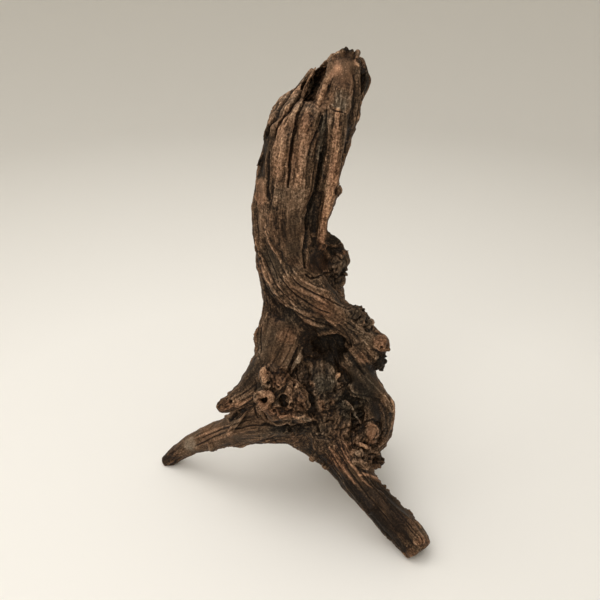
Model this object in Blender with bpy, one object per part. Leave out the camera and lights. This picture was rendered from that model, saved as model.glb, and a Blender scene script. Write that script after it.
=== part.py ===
"""Driftwood: the weathered foot of a small tree, standing on three root ends.

The wood is one grown piece. It is drawn as limbs, the strands of grain that run along them and the
knobs that sit on them, which are then grown together into one skin, hollowed and cut flat where the
three root ends stand.

Every point is written as a stranger would measure it from the front: across, up and back, in
millimetres from the heart of the piece. Across and up lie in a plane that leans back with the line
of sight, and back is the level distance behind the heart.
"""

import math

import bmesh
import bpy
from mathutils import Matrix, Vector, noise

MM = 0.001

# The line of sight from which the piece is measured
SIGHT_TILT = math.radians(28)
EYE_DISTANCE = 800.0
HEART_HEIGHT = 185.4

# How the skin is grown, hollowed and reduced
SKIN_CELL = 1.8
SMOOTH_STEPS = 4
SKIN_TRIANGLES = 10800
STEPS_BETWEEN_STATIONS = 5
LIMB_SIDES = 28
STRAND_SIDES = 14

# Weathering: two sizes of swell on the whole surface
SWELLS = ((22.0, 1.3, 3), (8.0, 0.9, 7))

WOOD_COLOUR = (0.085, 0.052, 0.030, 1.0)
WOOD_ROUGHNESS = 0.72

# Limbs: across, up, back, half width, half depth
LIMBS = {
    "trunk": [
        (-1, -30, 8, 34, 30), (2, -8, 6, 31, 29), (-3, 16, 6, 28.5, 27), (-7, 40, 6, 28.5, 25),
        (-7, 64, 8, 28.5, 24), (-3, 88, 10, 30.5, 24), (1, 112, 12, 30.5, 24), (6, 134, 14, 30.5, 23),
        (12, 149, 15, 29, 21), (14, 153, 16, 27, 20),
    ],
    "tip": [
        (24, 136, 12, 17, 20), (28.5, 150, 12, 17.5, 20), (31, 162, 13, 16.5, 19), (35.5, 174, 14, 15.5, 17),
        (36.5, 187, 15, 13.5, 13), (38, 194, 16, 9.5, 9), (39, 198.5, 17, 5, 5),
    ],
    "body": [
        (10, -24, 14, 33, 26), (16, -48, 14, 42, 32), (17, -70, 10, 52, 36), (19, -86, 6, 53, 36),
        (23, -98, 0, 44, 30), (25, -107, -6, 33, 22),
    ],
    "arm": [
        (-19, 34, -4, 11, 13), (-8, 16, -9, 15, 15), (6, 2, -12, 16.5, 16), (24, -11, -12, 17.5, 17),
        (40, -24, -9, 18.5, 18), (53, -37, -6, 16.5, 16), (59, -45, -4, 11.5, 12),
    ],
    "left_buttress": [
        (-13, -10, -2, 17, 20), (-16, -30, -4, 19, 22), (-21, -50, -7, 17, 20),
        (-34, -67, -9, 13.5, 15), (-49, -78, -10, 9, 10), (-60, -83, -10, 6.5, 7),
        (-65, -86, -10, 4.5, 5.5),
    ],
    "right_buttress": [
        (40, -36, 2, 16.5, 20), (47, -57, 0, 13, 20), (56, -75, 0, 13.5, 22), (62, -90, 2, 13.5, 24),
        (61, -107, 4, 12, 22), (53, -118, 4, 10.5, 18),
    ],
    "left_leg": [
        (11, -106, -14, 16, 19), (-11, -100, -10, 13, 18), (-34, -101, -4, 13, 17),
        (-53, -103.5, 5, 13, 15), (-69, -109, 13, 11.5, 12), (-81, -112.5, 20, 9.5, 10),
        (-92, -118.5, 27, 9, 9), (-102, -125, 31, 7.5, 8), (-107.5, -129, 33, 6.5, 7),
    ],
    "right_leg": [
        (16, -102, -8, 22, 22), (30, -120, -22, 18, 20), (43, -137, -38, 14.5, 17),
        (55.5, -152, -52, 13, 15), (68.5, -166, -65, 13, 14), (79.5, -179, -76, 13.5, 13.5),
        (90, -192, -86, 13.5, 13), (96, -201, -92, 12.5, 12),
    ],
    "rear_leg": [
        (18, -68, 22, 24, 20), (30, -82, 38, 19.5, 17), (42, -96, 54, 14.5, 13), (50, -108, 67, 11, 11),
        (52, -112.5, 72, 9.5, 10),
    ],
}

# Strands of grain that stand out of the limbs: across, up, back, radius
STRANDS = {
    "left_edge": [
        (-18, 149, 6, 5), (-22, 136, 5, 5.5), (-25, 112, 4, 6.5), (-30, 88, 2, 6.5),
        (-31, 64, 0, 6.5), (-29, 40, -3, 6.5), (-24, 16, -5, 7), (-22, -8, -7, 8), (-27, -36, -10, 9),
    ],
    "lip": [
        (-20, 138, 5, 4.5), (-17, 148, 6, 4.5), (-11, 157, 8, 3.5), (-3, 165, 11, 2.5), (7, 175, 14, 2),
    ],
    "left_rib": [
        (-6, 162, 5, 4), (-15, 144, -1, 5), (-19, 128, -4, 6), (-22, 105, -6, 6), (-25, 80, -7, 6),
        (-26, 56, -8, 5),
    ],
    "upper_turn": [
        (3, 160, 3, 4), (-5, 147, -2, 5.5), (-11, 118, -8, 7), (-15, 90, -10, 8), (-18, 64, -12, 9),
        (-13, 42, -16, 9), (-2, 22, -20, 9), (14, 5, -24, 8.5), (30, -9, -24, 8.5), (46, -22, -19, 8.5),
        (59, -33, -14, 7),
    ],
    "inner_turn": [
        (12, 156, 2, 4), (8, 142, -5, 6.5), (3, 116, -8, 7.5), (-1, 88, -11, 8.5), (-5, 64, -13, 9),
        (-2, 44, -15, 8.5), (6, 26, -17, 7.5), (20, 9, -18, 6.5), (33, -6, -15, 6.5), (46, -15, -11, 6),
    ],
    "lower_turn": [
        (-26, 30, -8, 5.5), (-17, 11, -15, 7), (-4, -5, -20, 8), (14, -17, -23, 8.5), (30, -30, -21, 8.5),
        (42, -42, -17, 8.5), (50, -54, -12, 6.5),
    ],
    "valley": [
        (20, 146, 3, 5), (17, 120, -1, 6), (11, 88, -4, 6), (7, 60, -6, 6), (4, 38, -8, 5.5),
    ],
    "right_rib": [
        (39, 182, 8, 6), (35, 160, 2, 7), (31, 136, -3, 7.5), (27, 112, -5, 7), (23, 88, -7, 6.5),
        (19, 68, -8, 5.5), (17, 50, -9, 4), (16, 42, -9, 2.5),
    ],
    "right_edge": [
        (46, 168, 12, 4), (41, 150, 11, 5), (36, 128, 9, 5), (28, 104, 8, 5.5), (25, 83, 8, 4.5),
    ],
    "back_left": [
        (14, 180, 38, 3.5), (2, 166, 36, 4.5), (-10, 150, 30, 6), (-19, 118, 26, 8), (-22, 70, 24, 9),
        (-18, 24, 26, 10), (-14, -20, 32, 11), (-18, -54, 32, 12), (-36, -80, 22, 11),
        (-54, -98, 14, 9), (-70, -108, 16, 7),
    ],
    "back_middle": [
        (31, 192, 38, 4), (22, 176, 40, 5), (14, 156, 38, 6.5), (5, 112, 34, 9), (-2, 64, 32, 9),
        (4, 14, 36, 10), (16, -26, 44, 11), (26, -62, 50, 12), (38, -92, 60, 10), (47, -108, 68, 8),
    ],
    "back_right": [
        (44, 180, 34, 3.5), (40, 166, 34, 4.5), (32, 150, 30, 6), (22, 112, 30, 8), (13, 64, 26, 8),
        (24, 16, 24, 9), (38, -22, 28, 10), (48, -60, 32, 11), (50, -92, 32, 10), (44, -112, 24, 8),
    ],
    "left_web": [
        (-16, -10, 12, 12), (-20, -40, 12, 15), (-30, -68, 6, 14), (-40, -88, 4, 12), (-50, -102, 6, 10),
    ],
    "hollow_left_rim": [
        (-6, -14, -14, 7), (-6, -30, -18, 7), (-13, -48, -22, 7), (-22, -62, -24, 7.5),
    ],
    "hollow_right_rim": [
        (32, -40, -14, 6), (44, -54, -18, 7), (58, -70, -18, 7), (68, -86, -12, 7), (68, -104, -10, 6.5),
        (58, -116, -16, 6),
    ],
    "inner_whorl": [
        (40, -68, -22, 4.5), (52, -80, -24, 5), (57, -94, -24, 5), (50, -108, -28, 5.5), (34, -112, -34, 6),
    ],
    "lower_whorl": [
        (28, -76, -22, 6), (36, -92, -27, 5), (34, -104, -32, 6), (18, -106, -34, 6.5),
    ],
    "left_leg_ridge": [
        (-24, -78, -22, 6.5), (-38, -86, -14, 6), (-50, -92, -4, 5), (-62, -99, 6, 4.5),
        (-75, -106, 14, 4),
    ],
    "left_leg_front": [
        (0, -99, -30, 6.5), (-22, -99, -26, 7.5), (-43, -101, -14, 7.5), (-62, -107, 0, 6),
    ],
    "right_leg_left": [
        (14, -111, -34, 6.5), (30, -128, -44, 6), (45, -148, -60, 5.5), (61, -168, -76, 5.5),
    ],
    "right_leg_top": [
        (29, -112, -38, 7.5), (43, -129, -50, 7), (56, -147, -62, 5.5), (72, -165, -76, 5.5),
        (86, -179, -87, 5.5), (98, -194, -97, 5),
    ],
}

# Knobs of burl, bark and broken twigs: across, up, back, radius
KNOBS = {
    "right_knob": [
        (27, 42, 12, 7), (26, 30, 10, 12), (29, 16, 10, 9), (26, 4, 4, 8),
    ],
    "crest": [
        (47, -8, -8, 5), (51, -16, -9, 6.5), (58, -24, -8, 6.5),
    ],
    "twig_stubs": [
        (64, -35, -10, 8), (62, -50, -6, 6.5),
    ],
    "rib_knob": [
        (29, 88, 0, 5), (-35, -30, -8, 4),
    ],
    "burl": [
        (-14, -74, -24, 19), (-27, -60, -30, 7), (-28, -77, -34, 9), (-14, -66, -36, 8),
        (-4, -75, -36, 8), (-5, -88, -36, 9), (-18, -90, -36, 8), (3, -92, -34, 6),
    ],
    "grey_bump": [
        (14, -66, -14, 16), (20, -54, -8, 11), (8, -82, -20, 13), (26, -72, -12, 14),
    ],
    "knot": [
        (57, -104, -28, 6), (57, -109, -29, 6),
    ],
    "lower_front": [
        (24, -98, -22, 15), (12, -98, -24, 13),
    ],
    "leg_stub": [
        (53, -126, -28, 9), (62, -128, -26, 6.5), (42, -122, -32, 8.5),
    ],
    "back_knobs": [
        (12, -20, 46, 12), (-22, -64, 34, 12), (44, -76, 40, 10), (-2, 30, 34, 8),
    ],
}

# Hollows: across, up, back, half width, half height, half depth
HOLLOWS = {
    "cave_under_the_turn": (24, -36, -28, 17, 10, 22),
    "bowl_of_the_whorl": (46, -88, -32, 8, 10, 11),
    "pocket_behind_the_stub": (-52, -92, -12, 8, 4, 12),
}

# The flake of bark that stands off the tip: across, up, back, half width, half depth
BARK_STATIONS = [
    (8, 138, 14, 27, 19), (9, 148, 15, 29, 21), (15.5, 160, 16, 29.5, 22), (24.5, 173, 17, 25, 20),
    (30.5, 184, 18, 19, 17), (35, 193, 19, 13, 13), (39.5, 202, 20, 6, 9),
]
BARK_THICKNESS = 3.0
# Its torn edge: the turn round the tip in degrees, from the right edge round the back to the left
# front, and how far up the stations the bark reaches there, from 0 to 1
BARK_EDGE = [
    (-18, 0.28), (-8, 0.58), (6, 0.70), (18, 0.72), (30, 0.58), (44, 0.74), (60, 0.98), (72, 0.90),
    (90, 1.00), (108, 0.96), (120, 0.84), (132, 0.93), (150, 0.82), (165, 0.90), (180, 0.84),
    (190, 0.56), (200, 0.36), (212, 0.28),
]
BARK_TURN_STEPS = 30
BARK_RISE_STEPS = 14


def seen_at(across, up, back):
    """The point that lies `back` behind the heart where the eye sees `across` and `up`."""
    lean, rise = math.cos(SIGHT_TILT), math.sin(SIGHT_TILT)
    eye = Vector((0.0, -EYE_DISTANCE * lean, HEART_HEIGHT + EYE_DISTANCE * rise))
    sight = Vector((across, EYE_DISTANCE * lean + up * rise, up * lean - EYE_DISTANCE * rise))
    return (eye + sight * ((back - eye.y) / sight.y)) * MM


def line_of_sight():
    """The way the eye looks at the heart."""
    return Vector((0.0, math.cos(SIGHT_TILT), -math.sin(SIGHT_TILT)))


def smooth_through(stations, steps):
    """Rows on a Catmull-Rom curve through the stations, whatever numbers a station holds."""
    ends = [stations[0], *stations, stations[-1]]
    rows = []
    for before, here, there, after in zip(ends, ends[1:], ends[2:], ends[3:]):
        for step in range(steps):
            t = step / steps
            rows.append([
                0.5 * (2 * b + (c - a) * t + (2 * a - 5 * b + 4 * c - d) * t * t
                       + (3 * b - a - 3 * c + d) * t ** 3)
                for a, b, c, d in zip(before, here, there, after)
            ])
    rows.append(list(stations[-1]))
    return rows


def cross_axes(centres, index):
    """The width and depth directions of a limb at one of its centres."""
    along = centres[min(index + 1, len(centres) - 1)] - centres[max(index - 1, 0)]
    along.normalize()
    depth = line_of_sight()
    depth = (depth - along * depth.dot(along)).normalized()
    return along.cross(depth), depth


def add_limb(bm, stations, sides):
    """A closed tube of oval rings through the stations."""
    rows = smooth_through(stations, STEPS_BETWEEN_STATIONS)
    centres = [seen_at(*row[:3]) for row in rows]
    rings = []
    for index, (centre, row) in enumerate(zip(centres, rows)):
        wide, deep = cross_axes(centres, index)
        half_width, half_depth = row[3] * MM, row[-1] * MM
        rings.append([
            bm.verts.new(centre + wide * half_width * math.cos(turn) + deep * half_depth * math.sin(turn))
            for turn in (2 * math.pi * side / sides for side in range(sides))
        ])
    for lower, upper in zip(rings, rings[1:]):
        for side in range(sides):
            after = (side + 1) % sides
            bm.faces.new((lower[side], lower[after], upper[after], upper[side]))
    bm.faces.new(reversed(rings[0]))
    bm.faces.new(rings[-1])


def add_knob(bm, across, up, back, radius, seed):
    """A lumpy ball."""
    centre = seen_at(across, up, back)
    made = bmesh.ops.create_icosphere(bm, subdivisions=3, radius=radius * MM)
    for vert in made["verts"]:
        way = vert.co.normalized()
        lump = noise.noise(way * 1.7 + Vector((seed, 0.0, 0.0)))
        vert.co = centre + vert.co * (1.0 + 0.35 * lump)


def bark_reach(turn):
    """How far up its stations the bark reaches at one turn round the tip."""
    for (turn_a, reach_a), (turn_b, reach_b) in zip(BARK_EDGE, BARK_EDGE[1:]):
        if turn <= turn_b:
            share = (turn - turn_a) / (turn_b - turn_a)
            return reach_a + (reach_b - reach_a) * share
    return BARK_EDGE[-1][1]


def bark_column(rows, centres, upright, degrees, lift):
    """One upright line of points on the bark, `lift` millimetres outside its inner wall."""
    turn = math.radians(degrees)
    column = []
    for rise in range(BARK_RISE_STEPS + 1):
        place = bark_reach(degrees) * rise / BARK_RISE_STEPS * (len(rows) - 1)
        index = min(int(place), len(rows) - 2)
        share = place - index
        wide, deep = cross_axes(upright, index)
        centre = centres[index].lerp(centres[index + 1], share)
        half_width = rows[index][3] + (rows[index + 1][3] - rows[index][3]) * share + lift
        half_depth = rows[index][4] + (rows[index + 1][4] - rows[index][4]) * share + lift
        column.append(centre + (wide * half_width * math.cos(turn) + deep * half_depth * math.sin(turn)) * MM)
    return column


def add_bark(bm):
    """The thin flake of bark behind and left of the tip, open towards the front."""
    rows = smooth_through(BARK_STATIONS, STEPS_BETWEEN_STATIONS)
    centres = [seen_at(*row[:3]) for row in rows]
    upright = [Vector((0.0, centre.y, centre.z)) for centre in centres]
    first, last = BARK_EDGE[0][0], BARK_EDGE[-1][0]
    loops = []
    for step in range(BARK_TURN_STEPS + 1):
        degrees = first + (last - first) * step / BARK_TURN_STEPS
        outer = bark_column(rows, centres, upright, degrees, BARK_THICKNESS)
        inner = bark_column(rows, centres, upright, degrees, 0.0)
        loops.append([bm.verts.new(point) for point in outer + inner[::-1]])
    for here, there in zip(loops, loops[1:]):
        for index in range(len(here)):
            after = (index + 1) % len(here)
            bm.faces.new((here[index], there[index], there[after], here[after]))
    bm.faces.new(reversed(loops[0]))
    bm.faces.new(loops[-1])


def draw_wood():
    """All limbs, strands, knobs and bark as overlapping closed shapes in one mesh."""
    bm = bmesh.new()
    for stations in LIMBS.values():
        add_limb(bm, stations, LIMB_SIDES)
    for stations in STRANDS.values():
        add_limb(bm, stations, STRAND_SIDES)
    for name, balls in KNOBS.items():
        for number, ball in enumerate(balls):
            add_knob(bm, *ball, seed=10.0 * len(name) + number)
    add_bark(bm)
    bmesh.ops.recalc_face_normals(bm, faces=bm.faces)
    mesh = bpy.data.meshes.new("driftwood")
    bm.to_mesh(mesh)
    bm.free()
    return mesh


def show(name, mesh):
    """The mesh as a named object in the scene."""
    made = bpy.data.objects.new(name, mesh)
    bpy.context.scene.collection.objects.link(made)
    return made


def applied(wood):
    """The object's mesh with its modifiers applied, and the modifiers removed."""
    graph = bpy.context.evaluated_depsgraph_get()
    mesh = bpy.data.meshes.new_from_object(wood.evaluated_get(graph))
    wood.modifiers.clear()
    wood.data = mesh


def grow_together(wood):
    """One even skin round everything that overlaps."""
    skin = wood.modifiers.new("skin", "REMESH")
    skin.mode = "VOXEL"
    skin.voxel_size = SKIN_CELL * MM


def cutter(name, mesh):
    """A helper that cuts and isn't part of the wood."""
    made = show(name, mesh)
    made.hide_render = True
    made.display_type = "WIRE"
    return made


def cut(wood, tool):
    """Takes the tool's shape out of the wood."""
    difference = wood.modifiers.new("cut_" + tool.name, "BOOLEAN")
    difference.operation = "DIFFERENCE"
    difference.object = tool


def hollow_cutter(name, across, up, back, half_width, half_height, half_depth):
    """An egg-shaped hollow whose length lies along the line of sight."""
    bm = bmesh.new()
    bmesh.ops.create_icosphere(bm, subdivisions=3, radius=1.0)
    stretch = Matrix.Diagonal((half_width * MM, half_depth * MM, half_height * MM, 1.0))
    tilt = Matrix.Rotation(-SIGHT_TILT, 4, "X")
    place = Matrix.Translation(seen_at(across, up, back))
    bm.transform(place @ tilt @ stretch)
    mesh = bpy.data.meshes.new(name)
    bm.to_mesh(mesh)
    bm.free()
    return cutter(name, mesh)


def weather(mesh):
    """Swells the surface out and in by a smooth noise of two sizes."""
    normals = [vert.normal.copy() for vert in mesh.vertices]
    for vert, normal in zip(mesh.vertices, normals):
        shift = sum(
            height * noise.noise(vert.co / (length * MM) + Vector((seed, seed, seed)))
            for length, height, seed in SWELLS
        )
        vert.co += normal * shift * MM


def reduce(wood):
    """Fewer and larger triangles where the surface is plain."""
    wood.data.calc_loop_triangles()
    fewer = wood.modifiers.new("fewer", "DECIMATE")
    fewer.ratio = SKIN_TRIANGLES / len(wood.data.loop_triangles)
    fewer.use_collapse_triangulate = True


def floor_cutter():
    """A block whose top is the surface that the three root ends stand on."""
    bm = bmesh.new()
    bmesh.ops.create_cube(bm, size=1.0)
    bm.transform(Matrix.Translation((0.0, 0.0, -0.5)))
    mesh = bpy.data.meshes.new("floor_block")
    bm.to_mesh(mesh)
    bm.free()
    return cutter("floor_block", mesh)


def centre_on_floor(mesh):
    """Puts the origin under the middle of the wood's box, on the surface it stands on."""
    xs = [vert.co.x for vert in mesh.vertices]
    ys = [vert.co.y for vert in mesh.vertices]
    middle = Vector(((min(xs) + max(xs)) / 2, (min(ys) + max(ys)) / 2, 0.0))
    mesh.transform(Matrix.Translation(-middle))


def wood_material():
    """Dark weathered wood."""
    material = bpy.data.materials.new("driftwood")
    material.use_nodes = True
    shader = material.node_tree.nodes["Principled BSDF"]
    shader.inputs["Base Color"].default_value = WOOD_COLOUR
    shader.inputs["Roughness"].default_value = WOOD_ROUGHNESS
    shader.inputs["Metallic"].default_value = 0.0
    return material


def main():
    for old in list(bpy.data.objects):
        bpy.data.objects.remove(old)
    wood = show("driftwood", draw_wood())
    grow_together(wood)
    for name, shape in HOLLOWS.items():
        cut(wood, hollow_cutter(name, *shape))
    grow_together(wood)
    rounding = wood.modifiers.new("rounding", "SMOOTH")
    rounding.iterations = SMOOTH_STEPS
    applied(wood)
    weather(wood.data)
    reduce(wood)
    applied(wood)
    cut(wood, floor_cutter())
    applied(wood)
    centre_on_floor(wood.data)
    wood.data.materials.clear()
    wood.data.materials.append(wood_material())
    wood.data.shade_smooth()


main()
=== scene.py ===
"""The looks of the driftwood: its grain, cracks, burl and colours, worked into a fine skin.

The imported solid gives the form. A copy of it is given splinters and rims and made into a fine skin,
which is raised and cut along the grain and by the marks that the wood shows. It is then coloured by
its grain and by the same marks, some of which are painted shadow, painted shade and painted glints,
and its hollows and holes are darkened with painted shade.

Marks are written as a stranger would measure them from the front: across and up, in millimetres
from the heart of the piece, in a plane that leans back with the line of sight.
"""

import math

import bmesh
import bpy
import numpy as np
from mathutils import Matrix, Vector
from mathutils.bvhtree import BVHTree


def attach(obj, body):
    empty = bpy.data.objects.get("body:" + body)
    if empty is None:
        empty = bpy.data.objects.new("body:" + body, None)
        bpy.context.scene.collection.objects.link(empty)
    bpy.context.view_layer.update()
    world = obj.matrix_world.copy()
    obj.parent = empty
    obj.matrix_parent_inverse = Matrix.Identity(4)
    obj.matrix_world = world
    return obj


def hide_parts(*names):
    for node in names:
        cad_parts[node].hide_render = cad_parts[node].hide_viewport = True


MM = 0.001

# The line of sight from which the piece is measured and photographed
HEART = np.array((10.67, 11.02, 185.4))
SIGHT_TILT = math.radians(28)
EYE_DISTANCE = 800.0
LENS = 60.0
SENSOR = 36.0
# The eye's directions, and its place from the heart
RIGHT = np.array((1.0, 0.0, 0.0))
UPWARD = np.array((0.0, math.sin(SIGHT_TILT), math.cos(SIGHT_TILT)))
FORWARD = np.array((0.0, math.cos(SIGHT_TILT), -math.sin(SIGHT_TILT)))
EYE = -FORWARD * EYE_DISTANCE

# The fine skin: gap and cell in millimetres, rounds of averaging, and triangles
WELD_GAP = 0.01
SKIN_CELL = 0.78
EVEN_STEPS = 10
NORMAL_STEPS = 3
SEEN_STEPS = 2
SKIN_TRIANGLES = 198000

# The field of grain, and the steps along it that draw streaks out, in millimetres
GRAIN_CELL = 5.0
GRAIN_REACH = 8.0
GRAIN_BLOCK = 20000
STREAK_STEP = 1.5
STREAK_STEPS = 9

# What the eye sees: cells of its picture, how far behind the nearest point one is hidden, and how far
# one must face the eye
SEEN_CELL = 1.6
SEEN_MARGIN = 4
HIDDEN_BEHIND = (5.0, 11.0)
FACING = (0.02, 0.22)

# Noise: side of its block of random numbers, how far apart it is read for each use, and its seeds
NOISE_SIDE = 64
NOISE_SHIFT = 40
MARK_SEED = 3
BROAD_SEED = 5
PIT_SEED = 8
LUMP_SEED = 9
LUMP_BEND_SEED = 10
GRIT_SEED = 11
WARMTH_SEED = 12
STREAK_SEED = 20

# Lines that the grain follows: across, up and back, from the tip down to the root ends
GRAIN_LINES = [
    [(38, 198, 14), (36, 182, 8), (32, 160, 2), (31, 136, -3), (27, 112, -5), (23, 88, -7),
     (19, 68, -8), (17, 50, -9), (22, 30, -6), (30, 8, -8)],
    [(20, 188, 18), (10, 172, 10), (-5, 147, -2), (-11, 118, -8), (-15, 90, -10), (-18, 64, -12),
     (-13, 42, -16), (-2, 22, -20), (14, 5, -24), (30, -9, -24), (46, -22, -19), (59, -33, -14),
     (74, -44, -8)],
    [(24, 172, 8), (8, 142, -5), (3, 116, -8), (-1, 88, -11), (-5, 64, -13), (-2, 44, -15), (6, 26, -17),
     (20, 9, -18), (33, -6, -15), (46, -15, -11), (60, -24, -6)],
    [(-22, 136, 5), (-25, 112, 4), (-30, 88, 2), (-31, 64, 0), (-29, 44, -3), (-24, 26, -8), (-17, 11, -15),
     (-4, -5, -20), (14, -17, -23), (30, -30, -21), (42, -42, -17), (52, -56, -12)],
    [(-32, 60, 6), (-29, 30, -2), (-24, 8, -6), (-22, -8, -7), (-27, -36, -10), (-34, -58, -10),
     (-49, -76, -10), (-66, -88, -10)],
    [(-8, -14, -12), (-12, -34, -16), (-22, -54, -20), (-38, -70, -14), (-52, -80, -11), (-68, -88, -10)],
    [(14, 180, 38), (-10, 150, 30), (-19, 118, 26), (-22, 70, 24), (-18, 24, 26), (-14, -20, 32),
     (-18, -54, 32), (-36, -80, 22), (-54, -98, 14), (-70, -108, 16), (-92, -118, 28), (-110, -131, 34)],
    [(22, 176, 40), (5, 112, 34), (-2, 64, 32), (4, 14, 36), (16, -26, 44), (26, -62, 50), (38, -92, 60),
     (50, -114, 72)],
    [(40, 166, 34), (22, 112, 30), (13, 64, 26), (24, 16, 24), (38, -22, 28), (48, -60, 32), (50, -92, 32),
     (44, -112, 24)],
    [(46, 168, 12), (41, 150, 11), (36, 128, 9), (28, 104, 8), (25, 83, 8), (28, 50, 12), (32, 16, 10),
     (36, -20, 4), (44, -46, 0), (60, -76, 0), (68, -92, -4), (64, -110, -4), (50, -122, -8)],
    [(34, -36, -14), (46, -56, -20), (58, -70, -18), (68, -86, -12), (66, -104, -10), (56, -116, -18),
     (38, -118, -28)],
    [(10, -36, -10), (14, -56, -22), (12, -76, -28), (14, -96, -34), (24, -112, -38)],
    [(26, -50, -8), (34, -70, -20), (40, -92, -27), (34, -106, -34), (30, -118, -38)],
    [(4, -96, -30), (-22, -99, -26), (-43, -101, -14), (-62, -107, 0), (-81, -112, 16), (-92, -118, 26),
     (-110, -131, 34)],
    [(-6, -84, -20), (-24, -84, -20), (-38, -88, -12), (-50, -94, -2), (-62, -100, 6), (-75, -106, 14),
     (-92, -116, 26)],
    [(-8, -100, 8), (-34, -103, 10), (-60, -108, 18), (-84, -116, 30), (-108, -131, 38)],
    [(14, -111, -34), (30, -128, -44), (45, -148, -60), (61, -168, -76), (76, -186, -86), (90, -204, -92)],
    [(29, -112, -38), (43, -129, -50), (56, -147, -62), (72, -165, -76), (86, -179, -87), (100, -198, -97)],
    [(26, -112, -8), (44, -132, -30), (62, -154, -52), (80, -174, -68), (100, -196, -84)],
]

# Relief that runs with the grain: width of a streak and height, in millimetres, and tone
GRAIN_RELIEF = ((7, 0.50, 0.03), (3, 0.36, 0.04), (1.5, 0.22, 0.02))
# Relief that has no direction: size and height of its lumps, and reach and size of the bends in them
LUMP_RELIEF = ((9, 0.9), (4.2, 0.95), (2, 0.6))
LUMP_BENDS = ((3, 8), (1.2, 3))
# How deep the cracks and pits are, and how far the skin is cut and raised at most, in millimetres
CRACK_DEPTH = 2.4
PIT_DEPTH = 2.0
DEEPEST_CUT = 5.5
HIGHEST_RISE = 2.6
# Where cracks, crumbs, pits, fibres and rough wood come in: sizes of the patterns in millimetres, and
# from which value to which
CRACK_SIZE = 26.0
CRACKS_COME = (0.0, 0.5)
CRACK_WIDTH = (0.0, 0.16)
CRUMB_SIZE = 30.0
CRUMBS_COME = (0.1, 0.7)
PIT_SIZE = 3.6
PITS_COME = (0.35, 0.75)
FIBRE_SIZE = 15.0
FIBRES_COME = (-0.5, 0.5)
ROUGH_COMES = (1.1, 2.0)

# The mean tone and warmth, and how much the patterns change them: amount and size in millimetres
BASE_TONE = 0.29
BASE_WARMTH = 0.5
TONE_MOTTLE = 0.16
TONE_MOTTLE_SIZES = (17.0, 7.0)
TONE_GRIT = (0.05, 1.6)
WARMTH_MOTTLE = (0.22, 12.0)
WARMTH_GRIT = (0.10, 2.6)
CRACK_TONE = 0.35
PIT_TONE = 0.25
# Tones above this one are held back by this share
PALE_TONE = 0.46
PALE_SHARE = 0.30
# Hollows are darkened with painted shade and rims are made paler: rounds of averaging, the depth in
# millimetres that counts as one, the least and the most that count, and tone
HOLLOW_PAINTED_SHADE = ((2, 0.07, -1.5, 1.8, 0.055), (7, 0.22, -1.0, 1.6, 0.10), (60, 1.3, -1.0, 1.6, 0.12))

# The soft edge of a patch, the rim of a hole: height in millimetres and tone, and the painted shade in a
# hole
PATCH_EDGE = (0.62, 1.12)
RIM_HEIGHT = 0.6
RIM_TONE = 0.14
HOLE_PAINTED_SHADE = -0.7
# How far the edges of patches and lines wander, and the size of the bends, in millimetres
PATCH_WANDER_ACROSS = ((1.5, 5), (0.8, 2.2))
PATCH_WANDER_UP = ((1.8, 5), (0.8, 2.2))
LINE_WANDER = ((0.45, 4),)
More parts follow.
